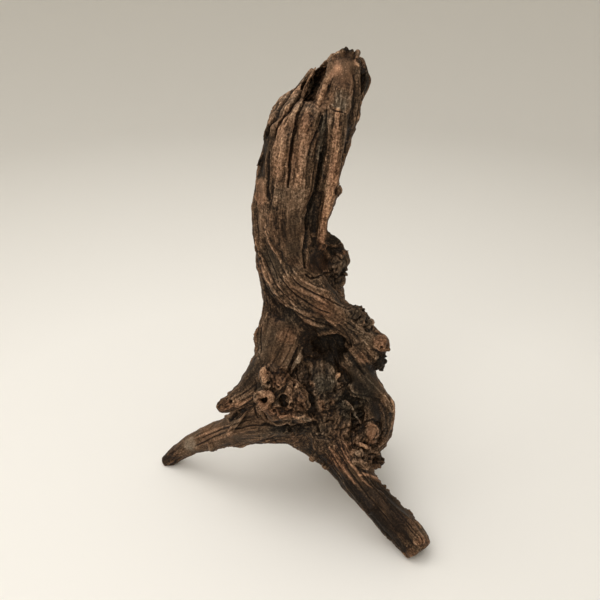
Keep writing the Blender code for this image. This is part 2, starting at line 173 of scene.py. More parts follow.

# Furrows, cracks, ribs and painted shadows: points across and up, half width, height, tone and warmth
STROKES = dict(
    crack_between_ribs=(
        [(10.6, 166), (3.4, 159.5), (-1.6, 148.7), (-3.7, 136.6), (-5.9, 126), (-7.3, 115),
         (-8.7, 101), (-9.5, 90)],
        1.7, -3.6, -0.62, 0),
    crack_in_middle=(
        [(18, 148), (14.9, 136.6), (12.7, 131), (9.1, 122.3), (7, 116)], 1.5, -2.6, -0.5, 0),
    furrow_of_lip=(
        [(-9, 164), (-17.3, 152), (-19.4, 145), (-24.4, 139.4), (-27, 130)], 1.9, -3, -0.5, 0),
    furrow_of_left_rib=(
        [(4, 170), (-2, 161), (-8, 153), (-13.7, 146), (-19, 137), (-21, 128)], 1.8, -3.2, -0.5, 0),
    furrow_high_by_right_rib=([(21, 152), (21, 136.6), (20, 122), (17.2, 108)], 2.2, -2, -0.16, -0.3),
    furrow_by_right_rib=(
        [(18, 116), (14.4, 96), (12.6, 83.6), (8.5, 75), (6.2, 63), (5.3, 51), (3.6, 38.7), (4.4, 26)],
        2.6, -3.4, -0.40, -0.2),
    black_line_in_furrow=(
        [(16.4, 118), (15.4, 104), (14.2, 94), (12, 83.6), (8.2, 75), (6.2, 63), (5, 50)],
        1.5, -2, -0.6, 0),
    grey_band_by_rib=([(18, 146), (17.6, 130), (15.6, 116), (18, 100)], 3.4, 0.3, -0.12, -0.55),
    dark_hollow_right_of_it=([(12, 80), (11, 68), (10.5, 56), (10, 44)], 4.6, -2.2, -0.34, -0.3),
    right_rib=(
        [(30.5, 152), (29.6, 136), (28, 110), (26, 92), (23, 79), (19.7, 67.6), (18.3, 55), (17.6, 42)],
        6, 1.2, 0.26, 0.42),
    left_rib=([(-10, 152), (-14, 140), (-16.5, 124), (-18, 106), (-19, 92)], 6, 0.8, 0.30, 0.12),
    middle_rib=([(6, 152), (3.5, 138), (1.5, 122), (-0.5, 106), (-2, 92)], 6.8, 0.8, 0.26, 0.12),
    lip_edge=([(-16, 157), (-5.5, 164.5), (4, 174), (13.4, 186.5)], 2, 0.5, 0.26, 0.2),
    ridge_inside_lip=([(-4, 163.5), (-10, 152.5), (-15.9, 143.5)], 2, 0.8, 0.2, 0.1),
    second_ridge=([(7, 165), (-1, 155), (-8, 146), (-12, 138)], 1.8, 0.9, 0.26, 0),
    crescent_crack=([(24.1, 154.4), (27.7, 151.4), (32.7, 150.4), (36.5, 148.6)], 0.9, -1.2, -0.5, 0),
    crescent_edge=([(25, 157), (29, 154.4), (34, 153.5)], 1.5, 0.3, 0.04, -0.3),
    white_fibre_a=([(29.4, 170), (28.8, 156)], 0.9, 0.4, 0.16, -0.05),
    white_fibre_b=([(33, 169), (32.6, 155)], 0.8, 0.4, 0.14, -0.05),
    white_fibre_c=([(36.6, 167), (36, 154)], 0.8, 0.3, 0.12, -0.05),
    stripe_right_of_facet=(
        [(43.4, 180), (44.4, 166), (42.5, 150), (39.5, 134), (36.5, 118)], 2, -1.4, -0.36, 0),
    dark_left_edge=([(-26, 138), (-30, 122), (-32, 108), (-33.5, 99)], 4.4, -0.6, -0.42, -0.25),
    stripe_by_patch=([(-25, 118), (-25.6, 100), (-26, 90), (-25.4, 80)], 1.9, -2, -0.45, -0.1),
    light_line_on_left=(
        [(-27.6, 55), (-22.5, 44), (-17.8, 33.8), (-12.9, 25.6), (-8.8, 18.3)], 1.3, 1, 0.24, 0),
    thin_ridge_a=([(-32.5, 38), (-27.6, 25.6), (-21.1, 15), (-12, 5)], 1.2, 1, 0.22, 0.05),
    thin_ridge_b=([(-31, 30), (-26, 16), (-20, 6), (-14, -2)], 1, 0.9, 0.18, 0.05),
    thin_furrow_a=([(-29.5, 33), (-24, 20), (-17, 9), (-6, -1)], 1.1, -1.4, -0.28, 0),
    thin_furrow_b=([(-16, 18), (-8, 8), (2, 0), (12, -6), (24, -11)], 1.1, -1.5, -0.3, 0),
    thin_furrow_c=([(-10, 22), (0, 11), (12, 5), (24, 0), (34, -6)], 1, -1.2, -0.24, 0),
    thin_furrow_d=([(-20, 4), (-10, -6), (2, -13), (14, -18), (26, -22)], 1.1, -1.4, -0.3, 0),
    light_fibre_a=([(-12.9, 20), (-6, 12), (2, 7), (12, 2.4), (22, -3)], 2, 0.9, 0.2, 0.1),
    light_fibre_b=([(-16, 0), (-6, -7), (6, -11), (18, -14), (30, -19)], 1.8, 0.8, 0.14, 0.1),
    light_fibre_c=([(-6, 24), (3, 15), (14, 9.5), (24, 6)], 1.5, 0.7, 0.14, 0.05),
    crack_under_knob=([(4.2, 20), (9, 17.4), (14, 18), (19.8, 21.4), (27, 21.6)], 1.1, -1.8, -0.42, 0),
    edge_of_dark_patch=([(-28.5, 45), (-26, 36), (-22, 26), (-17, 14)], 0.8, -0.8, -0.3, 0),
    # Painted shadow along the underside of the overhanging arm, over a furrow
    painted_shadow_under_arm=(
        [(-27.6, 8), (-20, -3), (-13.4, -9), (-5.5, -13), (3, -21), (14, -24.5), (24, -27),
         (31, -32), (38, -42), (45, -51), (52, -59)], 3.2, -2.2, -0.46, -0.1),
    twig=([(2.4, -37.5), (-1, -46), (-4.5, -54), (-8, -62)], 2.2, 0.2, 0.18, -0.15),
    groove_left_of_twig=([(-1, -37), (-5, -46), (-9, -55), (-12.5, -62)], 1.4, -1.8, -0.34, 0),
    rim_line=(
        [(36, -39), (43, -50), (50.4, -59), (60, -69), (69, -78), (73.4, -85)], 1, 0.5, 0.08, -0.15),
    squiggle=([(40.5, -84), (42.6, -88.5), (43.4, -92), (46, -94), (47.8, -98)], 1.1, 1.2, 0.7, 0.1),
    outer_whorl=(
        [(44, -76), (54, -76.5), (63, -80), (69.5, -90), (68.6, -103), (61, -112)], 1.3, -0.7, -0.14, 0),
    whorl_ridge=([(46, -78.6), (55, -79), (63.5, -84), (68, -93), (66, -105)], 1.1, 0.3, 0.04, 0.1),
    knot_rim=(
        [(53, -101), (57, -98.6), (61.6, -101), (62.6, -107), (59.4, -113), (55, -114.4)],
        1.6, 1.3, 0.24, 0.3),
    round_knot=(
        [(50, -103), (51.6, -97.4), (58, -95.4), (64.4, -98.6), (65.6, -107), (61, -116)],
        1.3, -1.4, -0.26, 0),
    right_edge_strip=([(72.4, -77), (75.6, -86), (75.6, -96), (72, -103)], 1.9, 0.6, 0.42, 0.3),
    burl_fringe=([(-17, -93.6), (-8, -92.6), (0, -94), (6, -92), (8.6, -95.4)], 1.5, 1.2, 0.26, 0.25),
    # Painted shadow that the burl casts on the leg below it, over a shallow furrow
    painted_shadow_under_burl=([(-30, -99), (-18, -99), (-6, -98.4), (6, -99.6), (12, -98)], 3, -2.4, -0.42, -0.1),
    left_of_burl=([(-36, -64), (-35.4, -74), (-37, -84), (-34, -94)], 1.5, -1.4, -0.24, 0),
    root_light_edge=([(38, -115.6), (45, -114), (52, -117), (56, -120.6)], 1.7, 0.7, 0.22, 0.2),
    root_light_under_stub=([(47, -140), (54, -139.4), (61, -143)], 1.7, 0.6, 0.3, 0.2),
    root_streak_a=([(24, -118), (30, -127), (37, -137), (44, -147)], 2.2, 1, 0.24, 0.45),
    root_streak_b=([(33, -118), (38, -127), (45, -136), (50, -144), (57, -150)], 1.5, 0.8, 0.22, 0.4),
    root_groove_a=(
        [(28, -118), (34, -128), (41, -139), (50, -151), (62, -166), (76, -183)], 1.2, -0.9, -0.18, 0),
    root_groove_b=([(46, -134), (56, -147), (68, -160), (82, -177), (94, -190)], 1.1, -0.8, -0.14, 0),
    root_groove_c=([(52, -139), (62, -151), (74, -164), (88, -180), (98, -192)], 1, -0.7, -0.12, 0),
    root_groove_d=(
        [(22, -122), (31, -137), (42, -153), (54, -169), (68, -186), (80, -198)], 1.1, -0.8, -0.14, 0),
    root_red_edge=([(49.6, -138), (57, -142), (64, -145.8), (71, -150)], 1.6, 0.8, 0.3, 0.4),
    root_dark_border=(
        [(10, -122), (22, -131), (34, -144), (46, -158), (60, -174), (72, -188), (84, -200)],
        6, -0.2, -0.5, -0.2),
    leg_streak_a=([(-56, -100), (-66, -103), (-76, -107), (-84, -111)], 1.4, 0.5, 0.12, 0.1),
    leg_streak_b=([(-34, -103), (-48, -106), (-62, -110), (-76, -115)], 1.3, 0.4, 0.08, 0.15),
    leg_groove_a=(
        [(-20, -101), (-36, -100), (-52, -103), (-68, -109), (-84, -117)], 1.2, -0.8, -0.14, 0),
    leg_groove_b=([(-40, -96), (-52, -99), (-64, -104), (-78, -110)], 1, -0.7, -0.12, 0),
    pocket_by_stub=([(-44, -88), (-50, -92), (-56, -96)], 3, -2, -0.5, -0.1),
    stub_groove=([(-34, -66), (-44, -74), (-54, -80), (-62, -85)], 1.2, -0.8, -0.14, 0),
    stub_light=([(-38, -78), (-48, -82), (-58, -87), (-65, -88)], 1.8, 0.6, 0.2, 0.4),
    body_fibre_a=([(-8, -22), (-13, -34), (-19, -46), (-29, -60)], 1, -0.4, -0.07, 0),
    body_fibre_b=([(-3, -24), (-6, -36), (-12, -48), (-18, -56)], 1, -0.4, -0.08, 0),
    slit_by_flap=([(50.2, 190), (50.8, 176), (49.8, 160)], 1.9, -3.4, -0.7, 0),
    flange=([(-33, -19), (-35, -28), (-35.4, -38), (-33.6, -45)], 1.6, 1, 0.02, 0.25),
    behind_flange=([(-30.4, -19), (-31.6, -30), (-31.4, -42)], 1, -1.4, -0.36, 0),
)

# Patches: across, up, half width, half height, turn in degrees, tone, warmth, share of the relief and
# height
PATCHES = dict(
    core=(30, -82, 34, 34, 0, -0.09, -0.15, 1.9, 0),
    body_left=(-18, -34, 18, 24, 0, 0.04, -0.05, 0.35, 0),
    left_leg=(-60, -106, 50, 14, 18, 0.01, 0, 0.32, 0),
    right_leg=(62, -160, 50, 20, -48, -0.08, 0, 0.34, 0),
    facet=(36, 184, 10, 16.5, -14, 0.1, 0.2, 0.05, -0.8),
    left_of_facet=(27, 186, 4.4, 10, -22, 0.16, 0.2, 0.5, 0),
    # Painted glints on the facet, on orange wood
    orange_painted_glint_on_facet=(29.5, 184, 3.6, 6, -30, 0.31, 0.4, 0.5, 0),
    chips_on_facet=(45.6, 190, 1.8, 5, 0, 0.46, 0.4, 1.4, 0.4),
    grey_fibres=(33.5, 160, 7, 10, 0, 0.2, -0.32, 0.7, -0.5),
    dark_gap=(13.5, 177, 4.6, 12.5, -30, -0.3, -0.2, 1, -1),
    tan_by_slit=(20.5, 172, 4, 14, -26, 0.22, 0.25, 0.8, 0),
    black_rim=(38.6, 200, 6.5, 3, 0, -0.5, -0.2, 2.6, 0),
    olive_shoulder=(47.6, 192, 3.6, 7, 0, -0.22, -0.3, 1.3, 0),
    right_flap=(53.4, 172, 3.2, 17, 0, -0.57, -0.2, 1.2, 0),
    low_on_rib=(31, 88, 4, 5, 0, 0, 0.1, 0.8, -2.2),
    tan_under_tip=(20, 160, 7, 12, -30, 0.19, 0.2, 1, 0),
    speckled_reds=(6, 143, 7, 9, 0, -0.12, 0.35, 1.5, 0),
    tan_ribs=(-7, 118, 20, 34, 0, 0.06, 0.14, 0.75, 0),
    smooth_patch=(-31.6, 85, 4.6, 14.5, 0, 0.26, 0.22, 0.35, 0.5),
    under_patch=(-30, 60, 5, 13, 0, 0.25, 0, 0.9, 0),
    pinkish_fade=(-6, 82, 13, 12, -14, 0.18, -0.08, 0.6, 0),
    smooth_face=(-7, 52, 11, 22, 4, -0.05, -0.02, 0.35, 0),
    orange_on_face=(-5.6, 31, 5, 5.6, 20, -0.11, 0.3, 0.5, 0),
    chips_by_rib=(11.6, 51, 3, 2.6, 0, 0.46, 0.3, 1, 0.5),
    end_of_rib=(17.5, 44, 4.4, 6, 0, 0.12, 0.45, 1.5, 0),
    red_hollow=(15, 29, 10.5, 8.4, 0, -0.11, 0.4, 0.4, -1.2),
    dark_over_hollow=(13, 43, 8, 5, 0, -0.23, -0.1, 1.2, 0),
    black_on_knob=(28, 45, 8, 10, 0, -0.46, -0.3, 1.6, 0),
    rough_knob=(31, 23, 8, 14, 0, -0.1, -0.15, 2, 0),
    chip_on_knob=(37.4, 39, 1.8, 4, 0, 0.2, 0.4, 1.5, 0),
    dark_left_patch=(-21.5, 29, 5.8, 17.5, 24, 0.01, -0.3, 0.3, -1.2),
    rough_left_edge=(-33, 32, 3.6, 20, 14, -0.12, 0.15, 1.6, 0),
    dark_below_left=(-26, 0, 6, 14, 8, -0.14, -0.1, 1.2, 0),
    tan_arm=(2, 10, 15, 8, -34, 0.1, 0.08, 0.48, 0),
    red_arm=(22, -9, 17, 9, -30, 0.02, 0.28, 0.48, 0),
    grey_arm_end=(46, -28, 12, 15, -40, -0.04, -0.06, 1.3, 0),
    # Painted shade just under the arm, over a shallow dip
    painted_shade_under_arm=(-14, -11, 8, 6, -20, -0.14, -0.25, 1, -1),
    pink_on_arm=(49, -46, 5, 5, 0, 0.29, 0.3, 0.6, 0),
    crest_chips=(49, -10, 10, 8.5, -40, -0.23, -0.15, 2.4, 0.3),
    crest_dark=(56, -20, 6, 6, -40, -0.16, -0.05, 2.2, 0),
    orange_stub=(65.6, -35, 7.8, 8, 0, 0.16, 0.42, 0.6, 0),
    black_lump=(65, -50, 5.6, 7.4, 0, -0.5, -0.3, 2.8, 0),
    pink_chips=(-11, -29, 9, 7, -20, 0.13, 0.35, 1.3, 0.2),
    # The cave under the arm and its floor are cut in and darkened with painted shade
    cave_with_painted_shade=(26, -38, 11, 17, 12, -0.75, -0.2, 1, -2.5),
    cave_floor_with_painted_shade=(10, -42, 11, 8.5, 0, -0.55, -0.1, 1.4, -1),
    dark_by_twig=(6, -66, 5, 9, 0, -0.1, 0.05, 1.2, -0.6),
    # Painted shade in the left of the cave, which is also cut in
    cave_left_with_painted_shade=(9, -31, 11, 9, 0, -0.45, -0.05, 1.4, -1.6),
    grey_bump=(20, -60, 11.5, 15, 12, 0.1, -0.3, 0.5, 0.6),
    pink_spot=(30, -61, 2.6, 3.4, 0, 0.48, 0.4, 1, 0.7),
    ear_of_burl=(-28, -60.5, 4.4, 8.4, -8, 0.32, 0.34, 1.6, 0.9),
    burl_upper=(-16, -62, 9, 8, 0, -0.18, 0.25, 2.2, 0),
    burl_ring=(-27.6, -80, 8.6, 9.6, 0, 0, 0.36, 1.7, 0.6),
    burl_lower=(-14, -90, 14, 5.4, 0, -0.1, 0.42, 2.4, 0),
    burl_pit=(-13, -80, 5.4, 5.4, 0, -0.6, 0, 2.6, -3),
    # Painted shadow below the burl, over a shallow dip
    painted_shadow_under_burl=(-8, -103, 18, 4.6, -4, -0.34, -0.15, 1.4, -0.6),
    burl_right=(2, -82, 6.5, 9, 0, -0.06, 0.3, 1.2, 0.5),
    pocket_right_of_burl=(9, -80, 4.6, 11, 8, -0.56, -0.1, 1.4, -3),
    flecks_by_pocket=(17.4, -84, 2.6, 6, 10, 0.14, 0.4, 1.6, 0.6),
    fleck_above=(10.6, -66.6, 2.4, 2.4, 0, 0.36, 0.3, 1, 0.5),
    second_fleck=(24.6, -82, 2.4, 3, -30, -0.08, 0.35, 1.2, 0.4),
    dark_bowl=(40, -84, 13, 13, 0, -0.05, -0.28, 2, -0.6),
    dark_right_bowl=(60, -88, 6, 12, 0, -0.28, -0.1, 0.35, 0),
    body_right=(52, -66, 20, 14, -42, -0.11, -0.2, 0.2, 0),
    knot=(57, -106, 4.2, 8, -12, 0.1, 0.36, 0.25, 0.9),
    left_of_knot=(49.5, -106, 4.6, 8, 0, -0.28, -0.1, 1, 0),
    lower_front=(24, -104, 16, 8, 0, 0.05, 0.05, 2, 0),
    stub_lump=(53, -128, 14, 10, 0, -0.02, -0.02, 2.2, 0),
    stub_end=(66, -129, 5.4, 7, 0, -0.3, -0.1, 2.6, 0),
    orange_root=(32, -126, 10, 14, -36, -0.06, 0.5, 1.2, 0),
    dark_root=(70, -168, 34, 11, -50, -0.22, -0.04, 0.75, 0),
    root_rim=(98, -193, 6.4, 6.4, 0, 0.01, 0.4, 0.7, 0),
    root_rim_left=(89, -202.5, 8.4, 4.4, -14, -0.06, 0.38, 0.7, 0),
    left_leg_top=(-66, -106, 18, 5.4, -18, 0.1, 0.1, 0.6, 0),
    # Painted highlight: a broad pale patch on the leg
    painted_highlight_on_leg=(-88, -115, 6, 5.6, 40, 0.36, -0.42, 0.5, 0),
    left_foot=(-104, -127.5, 8.6, 8.6, 0, -0.24, 0.2, 0.8, 0),
    shaded_leg=(-20, -104, 20, 6, 0, -0.11, -0.25, 0.6, 0),
    stub_tip=(-61, -84.4, 7.6, 6.4, -20, -0.06, 0.42, 0.8, 0),
    grey_flank=(-40, -60, 18, 14, -42, -0.14, -0.12, 0.45, 0),
)

# Round holes: across, up, radius of the hole, radius of the raised ring, depth
HOLES = dict(
    hole_of_ring=(-27.9, -79.6, 3, 6.4, 4.2),
    pit_above_ear=(-26.4, -54.6, 2.4, 3.6, 3),
    pit_under_ear=(-25.6, -66.4, 2, 3.2, 2.8),
    small_ring=(-4.9, -67.7, 1.6, 3.2, 2.4),
    hole_in_stub=(-55.5, -81.2, 1.9, 3, 2.6),
    hole_in_orange_stub=(65.2, -38.4, 1.6, 2.8, 1.8),
    dot_under_arm=(-5.4, -12, 1.7, 2.4, 2.4),
    pit_in_burl=(-13.2, -80.4, 3.4, 5.4, 4),
    pit_beside_it=(-6.6, -84, 2.2, 3.4, 2.6),
    pit_below=(-8.4, -104, 2, 3, 2.4),
    pit_in_leg=(-5.6, -106.6, 1.8, 2.6, 2.2),
    burl_pit_high=(-17.6, -69.4, 1.6, 2.6, 2.2),
    burl_pit_low=(-20.6, -88.6, 1.5, 2.4, 2),
)

# Small shifts of the outline: across, up, reach, and how far it moves across and up, in millimetres
SHIFTS = dict(
    lip=(-8, 168, 14, 2.8, -2.8),
    right_leg=(60, -161, 19, -3, -2),
    arch=(-20, -113, 20, 0, -2.5),
    arch_right=(9, -124, 8, -1.8, -1.8),
    left_foot=(-104, -118, 7, 1, -1.3),
    left_knee=(-66, -118, 7, 0, -1.2),
    stub_tip=(-63, -83, 8, -1, -2.2),
    flank=(-43, -55, 9, -1, 0.9),
    right_edge=(74, -83, 8, 2.2, 0.4),
    over_stub=(62, -23, 5, -1.6, -1.6),
    under_knob=(39, 0, 6, -2.4, -1),
    black_lump=(67, -50, 4, 1.6, 0),
    low_on_rib=(28, 80, 5, 1.6, 0),
    left_edge=(-35, 92, 24, -0.9, 0),
    flap=(51, 158, 9, -1.2, 0),
    knob_edge=(37, 40, 5, 1.4, 0.4),
)

# Splinters, stubs and flakes that stand off the skin, in millimetres: across and up of the root and of
# the end, radius at both, and how far the end stands towards the eye
SPLINTERS = dict(
    rim_crumb_a=(34, 195, 33.4, 200.6, 3, 1.8, 0),
    rim_crumb_b=(37.5, 196, 37.6, 201.6, 3, 1.8, 0),
    rim_crumb_c=(41, 195, 42, 201, 3, 1.6, 0),
    rim_crumb_d=(45, 193, 47.4, 200, 3.2, 2.2, 0),
    lip_strip_a=(-2, 164, 12.4, 187, 2.6, 1.3, -1),
    lip_strip_b=(3, 162, 10.4, 178, 2.6, 2, 1),
    lip_chip=(26, 193, 26.6, 197.8, 2.4, 1.5, 0),
    flank_of_slit=(14, 158, 22, 182, 3.4, 2.4, 0),
    flap=(49, 158, 53.8, 184, 2.6, 1.7, -2),
    bark_flake_a=(-24, 143, -29.2, 128, 2, 1, 0),
    bark_flake_b=(-29, 119, -34.6, 106, 2, 1.2, 0),
    rib_swelling=(27, 99, 29.8, 84, 3, 2.4, -2),
    knob_wall=(20, 52, 31, 44, 3.6, 3.4, 0),
    knob_chip=(34, 38, 38, 39.4, 2.8, 1.4, -1),
    knob_spike=(35, 22, 38.6, 19.4, 2.8, 1.8, -1),
    crest_mass_a=(41, -11, 45.6, -5, 5.4, 3, 0),
    crest_mass_b=(47, -16, 52, -9.6, 5, 2.4, 0),
    crest_mass_c=(53, -21, 58.4, -16.6, 4.2, 2, 0),
    crest_chip_a=(44, -8, 45.6, -2, 2.4, 1.4, 0),
    crest_chip_b=(49, -13, 51.6, -5.6, 2.2, 1.2, 0),
    orange_stub=(60, -34, 70.4, -34.4, 6.6, 5.4, 2),
    orange_stub_tip=(66, -38, 72.6, -40.4, 4, 2.4, 1),
    black_lump=(61, -46, 66.4, -51.4, 5.4, 3.4, 1),
    black_spur=(62, -50, 65.4, -56.6, 3.6, 1.8, 1),
    edge_of_bowl=(69, -78, 72.6, -90, 3, 2.4, 0),
    root_stub=(50, -119, 66.4, -124.4, 6.4, 3.6, 6),
    root_stub_tip=(60, -124, 68.6, -128.2, 3.4, 2, 4),
    root_spur=(54, -126, 59.6, -138, 4.2, 1.8, 6),
    root_flake=(44, -115, 56.6, -118.4, 2.5, 1.2, 4),
    root_mass_a=(42, -120, 53, -125, 5.6, 5, 7),
    root_mass_b=(44, -127, 57, -133, 4.6, 3.2, 7),
    border_knob_a=(16, -121, 11, -125.6, 4.4, 3.2, 0),
    border_knob_b=(24, -129, 19, -133.6, 4, 2.8, 0),
    flange_upper=(-31.4, -18, -35.6, -30, 1.6, 2, 0),
    flange_lower=(-35.6, -29, -33.4, -44.6, 2, 1.2, 0),
    leg_knob=(-71, -114, -71.4, -119.4, 4.2, 3, 0),
    leg_strand=(-43, -87, -58.6, -108, 2.8, 2, 1),
    twig=(2.8, -36.6, -8, -61.6, 1.6, 1.3, 2.5),
    ear=(-26.4, -71, -30, -55, 3.8, 2.6, 6),
    ear_curl=(-29.6, -56, -23.6, -52, 2.8, 1.7, 6),
    burl_plate_a=(-22, -66, -11, -69, 3.8, 2.8, 5),
    burl_plate_b=(-17, -63, -8, -74, 3.2, 2.4, 4),
    burl_lobe_a=(-5, -74, 4.6, -79, 4.2, 3.2, 5),
    burl_lobe_b=(3, -78, 6.6, -86, 3.8, 2.8, 5),
    burl_lobe_c=(5, -83, -1, -92.5, 3.2, 2.6, 5),
    burl_fringe_a=(-6, -91, 8.6, -95.8, 2.6, 1, 7),
    burl_fringe_b=(-18, -90, -7, -96, 3.8, 2.2, 7),
    burl_fringe_c=(-33, -86, -27, -94.6, 3.4, 1.8, 5),
    burl_fringe_d=(-26, -90, -16, -96, 3.4, 2.2, 6),
    burl_left=(-32, -84, -36.6, -80, 2.8, 1.5, 3),
    bump_flake_a=(12, -52, 14.6, -66, 2.4, 1.8, 1),
    bump_flake_b=(20, -50, 24.4, -68, 2.6, 1.8, 1),
    pink_spot=(30, -60, 30.4, -62.6, 2, 1.8, 2),
    bowl_splinter_a=(30, -78, 41, -84.6, 1.8, 1.2, 2),
    bowl_splinter_b=(26, -92, 38.4, -88.6, 2, 1.1, 2),
    bowl_splinter_c=(22, -98, 30.6, -105, 2, 1.4, 3),
    pocket_splinter_a=(14, -76, 15.6, -90, 1.8, 1.3, 2),
    pocket_splinter_b=(20, -74, 22.4, -86.4, 1.7, 1.2, 2),
    arm_sliver=(-4, -16, 8.6, -25, 1.6, 0.9, 2),
    chips_a=(-13, -22, -15.4, -27.4, 1.6, 0.9, 1),
    chips_b=(-7, -24, -5.6, -30.4, 1.6, 0.9, 1),
    chips_c=(-2, -22, -4.4, -33.4, 1.4, 0.8, 1),
)

# Raised rings round a hole: across, up, radius of the ring and of its rim
RINGS = dict(
    big_ring=(-27.9, -79.6, 5.6, 2.5),
    small_ring=(-4.9, -67.7, 2.5, 1),
    pit_ring=(-13.2, -80.4, 6.2, 2.6),
    ring_below=(-10, -104.4, 3.2, 1.1),
    stub_ring=(65.2, -38.4, 2.4, 0.9),
)

# Shape of the splinters and rings: sides, how deep the root sits as a share of its radius, bend in
# millimetres, how uneven the sides are, and the share of length and of radius at each station
SPLINTER_SIDES = 10
ROOT_DEPTH = 0.6
SPLINTER_BEND = 0.9
TWO_LOBES = 0.22
THREE_LOBES = 0.14
STATIONS = ((0.0, 0.9), (0.25, 1.0), (0.5, 1.0), (0.75, 1.0), (0.94, 0.86), (1.0, 0.45))
RING_STEPS = 20
RING_UNEVEN = 0.16

# The wood's colour at each tone, from black to pale, in three kinds of wood
TONE_STOPS = (0.0, 0.3, 0.55, 0.8, 1.0)
GREY_WOOD = ((0.0062, 0.004, 0.0022), (0.04, 0.03, 0.019), (0.112, 0.086, 0.058),
             (0.262, 0.208, 0.15), (0.52, 0.42, 0.3))
BROWN_WOOD = ((0.008, 0.0036, 0.0012), (0.052, 0.03, 0.0155), (0.149, 0.086, 0.048),
              (0.352, 0.218, 0.134), (0.66, 0.42, 0.24))
RED_WOOD = ((0.009, 0.0036, 0.0012), (0.062, 0.03, 0.0145), (0.172, 0.086, 0.045),
            (0.402, 0.216, 0.125), (0.72, 0.42, 0.22))

# Fibres, grit and pale specks of painted glint finer than the mesh: scale of the noise per metre, how
# much tone they add, and bumps in millimetres
FIBRE_SCALE = 1000.0
FIBRE_SAMPLES = 7
FIBRE_STEP = 0.7
FIBRE_TONE = 2.0
GRIT_SCALE = 620.0
GRIT_TONE = 1.1
PAINTED_GLINT_SCALE = 1100.0
PAINTED_GLINT_TONE = 0.2
GRIT_BUMP = 0.6
BUMP_STRENGTH = 0.8
BUMP_HEIGHT = 0.7

# Numbers of the colour sockets of a mix node
MIX_FIRST = 6
MIX_SECOND = 7
MIX_RESULT = 2

FLOOR_COLOUR = (0.90, 0.88, 0.83)
# Painted shade: the floor's colour far from the piece
FAR_FLOOR_PAINTED_SHADE = (0.53, 0.505, 0.45)


class Web:
    """Which points of a mesh touch which, for averaging values over neighbours."""

    def __init__(self, edges, count):
        here = np.concatenate((edges[:, 0], edges[:, 1]))
        there = np.concatenate((edges[:, 1], edges[:, 0]))
        self.there = there[np.argsort(here, kind="stable")]
        self.number = np.bincount(here, minlength=count)
        self.starts = np.concatenate(([0], np.cumsum(self.number)[:-1]))

    def mean(self, values):
        """The mean of each point's neighbours."""
        total = np.add.reduceat(values[self.there], self.starts, axis=0)
        return total / (self.number if values.ndim == 1 else self.number[:, None])

    def spread(self, values, steps):
        """The values after some rounds of averaging."""
        for _ in range(steps):
            values = 0.5 * values + 0.5 * self.mean(values)
        return values

    def even(self, places, steps):
        """Places smoothed without shrinking."""
        for _ in range(steps):
            places = places + 0.5 * (self.mean(places) - places)
            places = places - 0.52 * (self.mean(places) - places)
        return places


def cell_corners(part):
    """The eight corners of a grid's cell, and how much each counts at a place in the cell."""
    for corner in range(8):
        step = np.array((corner & 1, corner >> 1 & 1, corner >> 2 & 1), np.int32)
        yield step, np.prod(np.where(step, part, 1 - part), axis=1)


class Noise:
    """Smooth noise between -1 and 1, from a block of random numbers."""

    def __init__(self, seed):
        self.block = np.random.default_rng(seed).uniform(-1, 1, NOISE_SIDE ** 3).astype(np.float32)

    def at(self, places, size):
        cells = places / np.float32(size) + np.float32(NOISE_SIDE * 8)
        low = np.floor(cells).astype(np.int32)
        part = (cells - low).astype(np.float32)
        part = part * part * (3 - 2 * part)
        total = np.zeros(len(places), np.float32)
        for step, weight in cell_corners(part):
            index = (low + step) % NOISE_SIDE
            flat = (index[:, 0] * NOISE_SIDE + index[:, 1]) * NOISE_SIDE + index[:, 2]
            total += weight * self.block[flat]
        return total


def smoothstep(low, high, values):
    """0 below low, 1 above high, and a soft step between."""
    share = np.clip((values - low) / (high - low), 0, 1)
    return share * share * (3 - 2 * share)


def standard(values):
    """The values with mean 0 and spread 1."""
    return (values - values.mean()) / values.std()


def seen_at(across, up, back):
    """The point that lies `back` behind the heart where the eye sees `across` and `up`."""
    sight = FORWARD * EYE_DISTANCE + RIGHT * across + UPWARD * up
    return EYE + sight * ((back - EYE[1]) / sight[1])


def picture_of(places):
    """Where the eye sees the places, across and up, and how far away they are."""
    ray = places - EYE
    far = ray @ FORWARD
    return ray @ RIGHT / far * EYE_DISTANCE, ray @ UPWARD / far * EYE_DISTANCE, far


def seen_share(across, up, far, facing):
    """1 for a point that the eye sees, 0 for one behind others or turned away."""
    column = ((across - across.min()) / SEEN_CELL).astype(int) + SEEN_MARGIN
    row = ((up - up.min()) / SEEN_CELL).astype(int) + SEEN_MARGIN
    nearest = np.full((row.max() + 1 + SEEN_MARGIN, column.max() + 1 + SEEN_MARGIN), 1e9)
    np.minimum.at(nearest, (row, column), far)
    behind = far - nearest[row, column]
    return (1 - smoothstep(*HIDDEN_BEHIND, behind)) * smoothstep(*FACING, facing)


def surface_at(tree, across, up):
    """Where the line of sight through a mark meets the wood, and which way the wood faces there."""
    sight = Vector(FORWARD * EYE_DISTANCE + RIGHT * across + UPWARD * up).normalized()
    place, normal, _, _ = tree.ray_cast(Vector((EYE + HEART) * MM), sight)
    if place is None:
        raise ValueError(f"no wood is seen at across {across}, up {up}")
    return np.array(place) / MM - HEART, np.array(normal)


def tube_ring(bm, centre, along, radius, wobble):
    """A ring of points round a centre, in millimetres from the heart, a little uneven."""
    side = np.cross(along, (0.3, 0.9, 0.2))
    side /= np.linalg.norm(side)
    over = np.cross(along, side)
    points = []
    for number in range(SPLINTER_SIDES):
        turn = 2 * math.pi * number / SPLINTER_SIDES
        uneven = TWO_LOBES * math.sin(2 * turn + wobble)
        reach = radius * (1 + uneven + THREE_LOBES * math.sin(3 * turn + 2.3 * wobble))
        point = centre + reach * (side * math.cos(turn) + over * math.sin(turn))
        points.append(bm.verts.new((point + HEART) * MM))
    return points


def bridge(bm, first, second):
    """Faces between two rings of points."""
    for number in range(SPLINTER_SIDES):
        after = (number + 1) % SPLINTER_SIDES
        bm.faces.new((first[number], first[after], second[after], second[number]))


